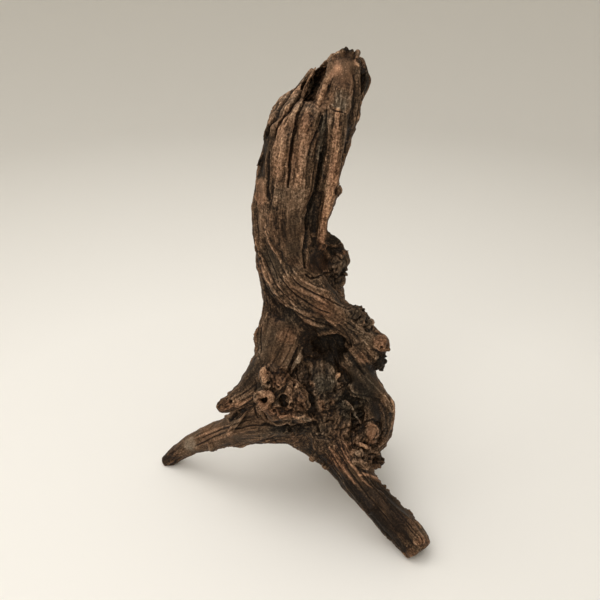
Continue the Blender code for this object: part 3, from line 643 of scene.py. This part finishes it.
def add_splinter(bm, tree, row, wobble):
    """A tapered uneven tube whose root is sunk in the wood."""
    across, up, end_across, end_up, radius, end_radius, lift = row
    root, normal = surface_at(tree, across, up)
    root = root - normal * ROOT_DEPTH * radius
    end = seen_at(end_across, end_up, root[1] - lift)
    along = (end - root) / np.linalg.norm(end - root)
    rings = []
    for share, width in STATIONS:
        bent = SPLINTER_BEND * math.sin(math.pi * share) * math.sin(3.0 * wobble) * normal
        reach = (radius + (end_radius - radius) * share) * width
        centre = root + (end - root) * share + bent
        rings.append(tube_ring(bm, centre, along, reach, wobble + 2 * share))
    for first, second in zip(rings, rings[1:]):
        bridge(bm, first, second)
    bm.faces.new(reversed(rings[0]))
    bm.faces.new(rings[-1])


def add_ring(bm, tree, across, up, ring, rim):
    """A raised rim of bark round a hole."""
    centre, normal = surface_at(tree, across, up)
    side = np.cross(normal, (0.0, 0.0, 1.0))
    side /= np.linalg.norm(side)
    over = np.cross(normal, side)
    rings = []
    for step in range(RING_STEPS):
        turn = 2 * math.pi * step / RING_STEPS
        out = side * math.cos(turn) + over * math.sin(turn)
        along = over * math.cos(turn) - side * math.sin(turn)
        uneven = 1 + RING_UNEVEN * math.sin(3 * turn + across)
        rings.append(tube_ring(bm, centre + out * ring * uneven, along, rim * uneven, 0.0))
    for first, second in zip(rings, rings[1:] + rings[:1]):
        bridge(bm, first, second)


def add_growths(bm):
    """Splinters, stubs and rings, each rooted in the wood that the eye sees at its mark."""
    tree = BVHTree.FromBMesh(bm)
    for number, row in enumerate(SPLINTERS.values()):
        add_splinter(bm, tree, row, 1.7 * number)
    for row in RINGS.values():
        add_ring(bm, tree, *row)


def fine_skin(node):
    """A copy of the solid with its growths, rounded facets and small even faces."""
    bm = bmesh.new()
    bm.from_mesh(node.data)
    bmesh.ops.remove_doubles(bm, verts=bm.verts, dist=WELD_GAP * MM)
    add_growths(bm)
    bmesh.ops.recalc_face_normals(bm, faces=bm.faces)
    mesh = bpy.data.meshes.new("driftwood_skin")
    bm.to_mesh(mesh)
    bm.free()
    wood = add_object("driftwood_skin", mesh)
    rounding = wood.modifiers.new("rounding", "SUBSURF")
    rounding.levels = rounding.render_levels = 1
    skin = wood.modifiers.new("skin", "REMESH")
    skin.mode = "VOXEL"
    skin.voxel_size = SKIN_CELL * MM
    apply_modifiers(wood)
    return wood


def add_object(name, data):
    """A new object in the scene."""
    thing = bpy.data.objects.new(name, data)
    bpy.context.scene.collection.objects.link(thing)
    return thing


def apply_modifiers(wood):
    """Makes what the modifiers give the wood's own mesh."""
    graph = bpy.context.evaluated_depsgraph_get()
    mesh = bpy.data.meshes.new_from_object(wood.evaluated_get(graph))
    wood.modifiers.clear()
    wood.data = mesh


def read(items, field, width, kind=np.float32):
    """A field of the mesh's points or edges, as rows of numbers."""
    values = np.empty(len(items) * width, kind)
    items.foreach_get(field, values)
    return values.reshape(-1, width)


def read_normals(mesh):
    """The way the skin faces at each point."""
    return read(mesh.vertex_normals, "vector", 3).astype(float)


def write_places(mesh, places):
    """Moves the mesh's points to places in millimetres from the heart."""
    mesh.vertices.foreach_set("co", ((places + HEART) * MM).astype(np.float32).ravel())
    mesh.update()


def guide_points():
    """Points along all lines of grain, and the way the grain runs there."""
    points, ways = [], []
    for line in GRAIN_LINES:
        stations = np.array([seen_at(*station) for station in line])
        for start, end in zip(stations, stations[1:]):
            steps = max(1, round(np.linalg.norm(end - start) / GRAIN_CELL))
            for step in range(steps):
                points.append(start + (end - start) * (step + 0.5) / steps)
                ways.append((end - start) / np.linalg.norm(end - start))
    return np.array(points, np.float32), np.array(ways, np.float32)


class Grain:
    """The way the grain runs, kept at the corners of a coarse grid."""

    def __init__(self, places):
        points, ways = guide_points()
        self.low = places.min(0).astype(np.float32) - 3 * GRAIN_CELL
        self.shape = np.ceil((places.max(0) - self.low) / GRAIN_CELL).astype(int) + 4
        grid = np.stack(np.meshgrid(*(np.arange(n) for n in self.shape), indexing="ij"), -1)
        corners = (grid.reshape(-1, 3) * GRAIN_CELL + self.low).astype(np.float32)
        self.ways = np.zeros_like(corners)
        for start in range(0, len(corners), GRAIN_BLOCK):
            block = corners[start:start + GRAIN_BLOCK]
            gap = (block ** 2).sum(1)[:, None] + (points ** 2).sum(1)[None] - 2 * block @ points.T
            gap -= gap.min(1, keepdims=True)
            self.ways[start:start + GRAIN_BLOCK] = np.exp(-gap / (2 * GRAIN_REACH ** 2)) @ ways

    def at(self, places):
        """The unit way of the grain at the places."""
        cells = np.clip((places - self.low) / GRAIN_CELL, 0, self.shape - 2)
        low = cells.astype(np.int32)
        part = (cells - low).astype(np.float32)
        total = np.zeros((len(places), 3), np.float32)
        for step, weight in cell_corners(part):
            index = low + step
            flat = (index[:, 0] * self.shape[1] + index[:, 1]) * self.shape[2] + index[:, 2]
            total += weight[:, None] * self.ways[flat]
        return total / np.maximum(np.linalg.norm(total, axis=1, keepdims=True), 1e-6)

    def paths(self, places):
        """Each place and the places before and after it along the grain, with their weights."""
        found = [(places, 1.0)]
        for side in (1, -1):
            here = places
            for step in range(1, STREAK_STEPS + 1):
                here = (here + side * STREAK_STEP * self.at(here)).astype(np.float32)
                found.append((here, 0.5 + 0.5 * math.cos(math.pi * step / (STREAK_STEPS + 1))))
        return found


def streaks(paths, size, seed):
    """Noise drawn out along the grain."""
    noise = Noise(seed)
    return standard(sum(weight * noise.at(places, size) for places, weight in paths))


def line_share(across, up, points, half_width):
    """How near each place is to a line, 1 on it and 0 from half_width away, thinner at the ends."""
    share = np.zeros(len(across))
    points = np.array(points, float)
    low, high = points.min(0) - half_width, points.max(0) + half_width
    near = np.flatnonzero((across > low[0]) & (across < high[0]) & (up > low[1]) & (up < high[1]))
    if not len(near):
        return share
    spots = np.stack((across[near], up[near]), 1)
    lengths = np.linalg.norm(np.diff(points, axis=0), axis=1)
    travelled = np.concatenate(([0], np.cumsum(lengths)))
    best, place = np.full(len(near), 1e9), np.zeros(len(near))
    for start, end, length, before in zip(points, points[1:], lengths, travelled):
        t = np.clip((spots - start) @ (end - start) / length ** 2, 0, 1)
        gap = np.linalg.norm(spots - start - t[:, None] * (end - start), axis=1)
        closer = gap < best
        best = np.where(closer, gap, best)
        place = np.where(closer, (before + t * length) / travelled[-1], place)
    width = half_width * (0.45 + 0.55 * np.sin(math.pi * np.clip(place, 0.04, 0.96)) ** 0.6)
    share[near] = np.clip(1 - (best / width) ** 2, 0, 1) ** 1.4
    return share


def patch_share(across, up, centre, half, turn):
    """1 inside an oval, 0 outside it, with a soft edge."""
    turned = math.radians(turn)
    x, y = across - centre[0], up - centre[1]
    along = (x * math.cos(turned) + y * math.sin(turned)) / half[0]
    aside = (-x * math.sin(turned) + y * math.cos(turned)) / half[1]
    return 1 - smoothstep(*PATCH_EDGE, np.hypot(along, aside))


def shift_outline(places):
    """Moves parts of the skin a little, square to the line of sight."""
    across, up, far = picture_of(places)
    for x, y, reach, move_across, move_up in SHIFTS.values():
        near = np.exp(-((across - x) ** 2 + (up - y) ** 2) / (2 * reach ** 2)) * far / EYE_DISTANCE
        places = places + near[:, None] * (move_across * RIGHT + move_up * UPWARD)
    return places


def wandered(values, noise, places, bends, first):
    """The values with bends added, so that marks have uneven edges."""
    for number, (reach, size) in enumerate(bends, start=first):
        values = values + reach * noise.at(places + NOISE_SHIFT * number, size)
    return values


def marks(places, across, up, seen):
    """What the strokes, patches and holes add: height, tone, warmth and the share of the relief."""
    noise = Noise(MARK_SEED)
    soft_across = wandered(across, noise, places, PATCH_WANDER_ACROSS, 0)
    soft_up = wandered(up, noise, places, PATCH_WANDER_UP, 2)
    crisp_across = wandered(across, noise, places, LINE_WANDER, 4)
    crisp_up = wandered(up, noise, places, LINE_WANDER, 5)
    height, tone, warmth = np.zeros((3, len(across)))
    relief = np.ones(len(across))
    for x, y, half_width, half_height, turn, shade, warm, rough, lift in PATCHES.values():
        share = seen * patch_share(soft_across, soft_up, (x, y), (half_width, half_height), turn)
        tone += share * shade
        warmth += share * warm
        height += share * lift
        relief *= 1 + share * (rough - 1)
    for points, half_width, lift, shade, warm in STROKES.values():
        share = seen * line_share(crisp_across, crisp_up, points, half_width)
        height += share * lift
        tone += share * shade
        warmth += share * warm
    for x, y, hole, ring, depth in HOLES.values():
        gap = np.hypot(crisp_across - x, crisp_up - y)
        inside = seen * (1 - smoothstep(0.5 * hole, 1.1 * hole, gap))
        round_it = seen * np.exp(-((gap - 0.5 * (hole + ring)) / (0.45 * (ring - hole) + 0.4)) ** 2)
        height += RIM_HEIGHT * round_it - depth * inside
        # The inside of a hole is darkened with painted shade, and its rim is made paler
        tone += RIM_TONE * round_it + HOLE_PAINTED_SHADE * inside
    return height, tone, warmth, np.clip(relief, 0.1, 2.6)


def lumps(places):
    """Relief without direction, as bark crumbs and burl have: puffed lumps with creases between."""
    noise, bend = Noise(LUMP_SEED), Noise(LUMP_BEND_SEED)
    bent = places
    for number, (reach, size) in enumerate(LUMP_BENDS):
        bent = bent + reach * bend.at(places + 50 * number, size)[:, None]
    total = np.zeros(len(places))
    for size, height in LUMP_RELIEF:
        puffed = 1.2 * np.abs(noise.at(bent + 70, 1.6 * size))
        total += height * (0.7 * noise.at(bent, size) + puffed - 0.4)
    return total


class Skin:
    """What is known at each point of the skin before it is raised and cut."""

    def __init__(self, places, normals, web):
        self.places = places.astype(np.float32)
        across, up, far = picture_of(places)
        sight = (EYE - places) / np.linalg.norm(EYE - places, axis=1, keepdims=True)
        self.seen = web.spread(seen_share(across, up, far, (sight * normals).sum(1)), SEEN_STEPS)
        self.lift, self.tone, self.warmth, self.relief = marks(self.places, across, up, self.seen)
        self.grain = Grain(self.places)
        paths = self.grain.paths(self.places)
        self.bands = [streaks(paths, row[0], STREAK_SEED + i) for i, row in enumerate(GRAIN_RELIEF)]
        self.broad = Noise(BROAD_SEED)
        self.wear()

    def pattern(self, shift, size):
        """Broad noise, shifted so that each pattern differs."""
        return self.broad.at(self.places + shift, size)

    def wear(self):
        """Finds where the wood is rough, pitted, cracked and streaked."""
        hidden = 1 - self.seen
        crumbs = smoothstep(*CRUMBS_COME, self.pattern(300, CRUMB_SIZE)) * hidden
        self.rough = np.maximum(smoothstep(*ROUGH_COMES, self.relief), 0.7 * crumbs)
        self.pits = smoothstep(*PITS_COME, Noise(PIT_SEED).at(self.places, PIT_SIZE)) * self.rough
        cracked = smoothstep(*CRACKS_COME, self.pattern(0, CRACK_SIZE) + 0.25) * (0.1 + 0.9 * hidden)
        self.cracks = cracked * (1 - smoothstep(*CRACK_WIDTH, np.abs(self.bands[0] + 0.2)))
        self.streaked = np.minimum(self.relief, 1.2) * (1 - 0.95 * self.rough)

    def heights(self):
        """How far each point is raised, in millimetres."""
        fibres = sum(lift * band for band, (_, lift, _) in zip(self.bands, GRAIN_RELIEF))
        patchy = 0.35 + 0.95 * smoothstep(*FIBRES_COME, self.pattern(400, FIBRE_SIZE))
        height = self.lift + np.minimum(self.relief, 1.25) * patchy * fibres * (1 - 0.9 * self.rough)
        height += lumps(self.places) * (0.34 + 1.9 * self.rough) * np.minimum(self.relief, 1.0)
        height -= CRACK_DEPTH * self.cracks + PIT_DEPTH * self.pits
        return np.clip(height, -DEEPEST_CUT, HIGHEST_RISE)

    def tones(self, hollows):
        """How pale each point is, from 0 for black to 1."""
        wide, narrow = TONE_MOTTLE_SIZES
        mottled = 0.5 * self.pattern(90, wide) + 0.5 * self.pattern(150, narrow)
        banded = sum(shade * band for band, (_, _, shade) in zip(self.bands, GRAIN_RELIEF))
        tone = BASE_TONE + self.tone + TONE_MOTTLE * mottled + self.streaked * banded
        amount, size = TONE_GRIT
        tone += amount * standard(Noise(GRIT_SEED).at(self.places, size))
        # Painted shade: darker in hollows, paler on rims
        for hollow, (_, depth, least, most, darker) in zip(hollows, HOLLOW_PAINTED_SHADE):
            tone -= darker * np.clip(hollow / depth, least, most)
        tone -= CRACK_TONE * self.cracks + PIT_TONE * self.pits
        tone -= PALE_SHARE * np.clip(tone - PALE_TONE, 0, 1)
        return np.clip(tone, 0.0, 1.0)

    def warmths(self):
        """How red each point is, from 0 for grey to 1."""
        amount, size = WARMTH_MOTTLE
        warmth = BASE_WARMTH + self.warmth + amount * self.pattern(210, size)
        amount, size = WARMTH_GRIT
        return np.clip(warmth + amount * Noise(WARMTH_SEED).at(self.places, size), 0.0, 1.0)


def find_hollows(places, normals, web):
    """How far each point lies below the mean of its surroundings, near and wide, in millimetres."""
    return [((web.spread(places, steps) - places) * normals).sum(1) for steps, *_ in HOLLOW_PAINTED_SHADE]


def grow_details(wood):
    """Raises and cuts the skin, and stores tone, warmth and grain on its points."""
    mesh = wood.data
    places = read(mesh.vertices, "co", 3).astype(float) / MM - HEART
    web = Web(read(mesh.edges, "vertices", 2, np.int32), len(places))
    places = shift_outline(web.even(places, EVEN_STEPS))
    write_places(mesh, places)
    normals = web.spread(read_normals(mesh), NORMAL_STEPS)
    normals /= np.linalg.norm(normals, axis=1, keepdims=True)
    skin = Skin(places, normals, web)
    places = places + normals * skin.heights()[:, None]
    places[:, 2] = np.maximum(places[:, 2], -HEART[2])
    write_places(mesh, places)
    hollows = find_hollows(places, read_normals(mesh), web)
    store(mesh, "tone", skin.tones(hollows))
    store(mesh, "warmth", skin.warmths())
    store(mesh, "streaked", np.clip(0.1 + 0.9 * skin.streaked, 0.0, 1.0))
    store(mesh, "gritty", np.clip(0.25 + skin.relief, 0.0, 1.0))
    store(mesh, "grain", skin.grain.at(skin.places))


def store(mesh, name, values):
    """Keeps values on the mesh's points for the material to read."""
    kind, field = ("FLOAT", "value") if values.ndim == 1 else ("FLOAT_VECTOR", "vector")
    attribute = mesh.attributes.new(name, kind, "POINT")
    attribute.data.foreach_set(field, values.astype(np.float32).ravel())


def reduce_faces(wood):
    """Fewer triangles where the skin is plain."""
    wood.data.calc_loop_triangles()
    fewer = wood.modifiers.new("fewer", "DECIMATE")
    fewer.ratio = SKIN_TRIANGLES / len(wood.data.loop_triangles)
    fewer.use_collapse_triangulate = True
    apply_modifiers(wood)


class Nodes:
    """Short names for building a material's node tree."""

    def __init__(self, material):
        material.use_nodes = True
        self.tree = material.node_tree
        self.shader = self.tree.nodes["Principled BSDF"]

    def feed(self, socket, value):
        """Links an output to the socket, or sets the socket to a constant."""
        if isinstance(value, bpy.types.NodeSocket):
            self.tree.links.new(value, socket)
        else:
            socket.default_value = value

    def new(self, kind, inputs=(), **settings):
        node = self.tree.nodes.new(kind)
        for name, value in settings.items():
            setattr(node, name, value)
        for key, value in dict(inputs).items():
            self.feed(node.inputs[key], value)
        return node

    def maths(self, operation, first, second):
        return self.new("ShaderNodeMath", {0: first, 1: second}, operation=operation).outputs[0]

    def attribute(self, name, output="Fac"):
        return self.new("ShaderNodeAttribute", attribute_name=name).outputs[output]

    def noise(self, place, scale, detail):
        inputs = {"Scale": scale, "Detail": detail, "Vector": place}
        return self.new("ShaderNodeTexNoise", inputs).outputs["Fac"]

    def ramp(self, factor, stops):
        """A colour that runs through the stops as the factor rises."""
        node = self.new("ShaderNodeValToRGB", {"Fac": factor})
        elements = node.color_ramp.elements
        stops = list(stops)
        while len(elements) < len(stops):
            elements.new(0.5)
        for element, (position, colour) in zip(elements, stops):
            element.position = position
            element.color = (*colour, 1.0)
        return node.outputs["Color"]

    def mix(self, factor, first, second):
        """A colour between two colours."""
        inputs = {"Factor": factor, MIX_FIRST: first, MIX_SECOND: second}
        return self.new("ShaderNodeMix", inputs, data_type="RGBA").outputs[MIX_RESULT]

    def share(self, value, low, high):
        """0 where the value is low, 1 where it is high."""
        inputs = {"From Min": low, "From Max": high, "Value": value}
        return self.new("ShaderNodeMapRange", inputs).outputs["Result"]

    def set_shader(self, inputs):
        for name, value in inputs.items():
            self.feed(self.shader.inputs[name], value)


def fibre_noise(nodes, place, grain):
    """Fine noise drawn out along the stored grain: the mean of samples before and after."""
    total = None
    for number in range(FIBRE_SAMPLES):
        step = (number - (FIBRE_SAMPLES - 1) / 2) * (FIBRE_STEP * MM)
        shift = nodes.new("ShaderNodeVectorMath", {"Scale": step, 0: grain}, operation="SCALE")
        moved = nodes.new("ShaderNodeVectorMath", {0: place, 1: shift.outputs[0]}, operation="ADD")
        sample = nodes.noise(moved.outputs[0], FIBRE_SCALE, 1.0)
        total = sample if total is None else nodes.maths("ADD", total, sample)
    return nodes.maths("DIVIDE", total, FIBRE_SAMPLES)


def wood_material():
    """Weathered wood: colour from tone and warmth, with fibres, grit and painted glints finer than the
    mesh.
    """
    material = bpy.data.materials.new("weathered_wood")
    nodes = Nodes(material)
    place = nodes.new("ShaderNodeTexCoord").outputs["Object"]
    fibre = fibre_noise(nodes, place, nodes.attribute("grain", "Vector"))
    grit = nodes.noise(place, GRIT_SCALE, 3.0)
    # Pale specks that are painted glints
    painted_glint = nodes.share(nodes.noise(place, PAINTED_GLINT_SCALE, 0.0), 0.66, 0.78)
    streaked = nodes.attribute("streaked")
    fine = nodes.maths("MULTIPLY", nodes.maths("SUBTRACT", fibre, 0.5), FIBRE_TONE)
    fine = nodes.maths("MULTIPLY", fine, streaked)
    uneven = nodes.maths("MULTIPLY", nodes.maths("SUBTRACT", grit, 0.5), nodes.attribute("gritty"))
    fine = nodes.maths("ADD", fine, nodes.maths("MULTIPLY", uneven, GRIT_TONE))
    fine = nodes.maths("ADD", fine, nodes.maths("MULTIPLY", painted_glint, PAINTED_GLINT_TONE))
    tone = nodes.maths("ADD", nodes.attribute("tone"), fine)
    warmth = nodes.attribute("warmth")
    kinds = (GREY_WOOD, BROWN_WOOD, RED_WOOD)
    grey, brown, red = (nodes.ramp(tone, zip(TONE_STOPS, kind)) for kind in kinds)
    cool = nodes.mix(nodes.share(warmth, 0.0, 0.5), grey, brown)
    roughness = nodes.share(nodes.maths("ADD", nodes.attribute("tone"), grit), 0.0, 1.6)
    height = nodes.maths("MULTIPLY", fibre, streaked)
    height = nodes.maths("ADD", height, nodes.maths("MULTIPLY", grit, GRIT_BUMP))
    bumps = {"Strength": BUMP_STRENGTH, "Distance": BUMP_HEIGHT * MM, "Height": height}
    nodes.set_shader({
        "Base Color": nodes.mix(nodes.share(warmth, 0.5, 1.0), cool, red),
        "Roughness": nodes.maths("ADD", nodes.maths("MULTIPLY", roughness, 0.3), 0.45),
        "Specular IOR Level": 0.12,
        "Normal": nodes.new("ShaderNodeBump", bumps).outputs["Normal"],
    })
    return material


def floor_material():
    """A plain pale surface with painted shade, a little darker far from the piece."""
    material = bpy.data.materials.new("pale_floor")
    nodes = Nodes(material)
    place = nodes.new("ShaderNodeTexCoord").outputs["Object"]
    distance = nodes.new("ShaderNodeVectorMath", {0: place}, operation="LENGTH").outputs["Value"]
    away = nodes.share(distance, 0.35, 1.5)
    nodes.set_shader({
        "Base Color": nodes.ramp(away, ((0.0, FLOOR_COLOUR), (1.0, FAR_FLOOR_PAINTED_SHADE))),
        "Roughness": 0.9,
        "Specular IOR Level": 0.2,
    })
    return material


def make_floor():
    """A round pale floor whose rim sweeps up into a wall."""
    floor_radius, sweep_radius, wall_height, sides, sweep_steps = 1.0, 0.45, 1.4, 96, 16
    profile = [(0.001, 0.0), (0.3, 0.0), (floor_radius, 0.0)]
    for step in range(1, sweep_steps + 1):
        turn = math.pi / 2 * step / sweep_steps
        out, rise = sweep_radius * math.sin(turn), sweep_radius * (1 - math.cos(turn))
        profile.append((floor_radius + out, rise))
    profile.append((floor_radius + sweep_radius, wall_height))
    turns = [2 * math.pi * side / sides for side in range(sides)]
    points = [(r * math.cos(turn), r * math.sin(turn), z) for r, z in profile for turn in turns]
    faces = [list(range(sides))]
    for ring in range(len(profile) - 1):
        for side in range(sides):
            after = (side + 1) % sides
            low, high = ring * sides, (ring + 1) * sides
            faces.append([low + side, high + side, high + after, low + after])
    mesh = bpy.data.meshes.new("studio_floor")
    mesh.from_pydata(points, [], faces)
    mesh.shade_smooth()
    mesh.materials.append(floor_material())
    floor = add_object("studio_floor", mesh)


def add_light(name, place, size, power, colour):
    """A square soft light that shines at the heart of the piece."""
    light = bpy.data.lights.new(name, "AREA")
    light.size = size
    light.energy = power
    light.color = colour
    lamp = add_object(name, light)
    lamp.location = place
    lamp.rotation_mode = "QUATERNION"
    lamp.rotation_quaternion = (Vector(HEART * MM) - Vector(place)).to_track_quat("-Z", "Y")


def light_studio():
    """A large soft light above and to the left, a weaker one in front, and a pale surround."""
    add_light("key_light", (-0.55, 0.10, 1.5), size=1.4, power=9.0, colour=(1.0, 0.97, 0.94))
    add_light("front_light", (-0.35, -1.15, 1.1), size=1.0, power=8.0, colour=(1.0, 0.97, 0.95))
    world = bpy.data.worlds.new("studio")
    world.use_nodes = True
    background = world.node_tree.nodes["Background"]
    background.inputs["Color"].default_value = (1.0, 0.985, 0.965, 1.0)
    background.inputs["Strength"].default_value = 0.76
    bpy.context.scene.world = world


def make_camera():
    """The camera at the photographed angle, looking at the heart of the piece."""
    camera = bpy.data.cameras.new("camera")
    camera.lens = LENS
    camera.sensor_width = SENSOR
    camera.clip_end = 20.0
    holder = add_object("camera", camera)
    holder.location = (EYE + HEART) * MM
    holder.rotation_mode = "QUATERNION"
    holder.rotation_quaternion = Vector(FORWARD).to_track_quat("-Z", "Y")
    bpy.context.scene.camera = holder
    bpy.context.scene.view_settings.view_transform = "Standard"


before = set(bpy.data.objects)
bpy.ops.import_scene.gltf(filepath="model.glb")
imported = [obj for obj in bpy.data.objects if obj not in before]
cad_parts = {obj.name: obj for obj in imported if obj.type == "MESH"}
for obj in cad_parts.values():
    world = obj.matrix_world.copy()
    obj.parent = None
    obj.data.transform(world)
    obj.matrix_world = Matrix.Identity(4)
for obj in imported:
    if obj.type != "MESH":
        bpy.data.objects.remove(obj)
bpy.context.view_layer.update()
wood = fine_skin(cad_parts["driftwood"])
grow_details(wood)
reduce_faces(wood)
wood.data.materials.clear()
wood.data.materials.append(wood_material())
wood.data.shade_smooth()
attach(wood, "root")
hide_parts("driftwood")
make_floor()
light_studio()
make_camera()
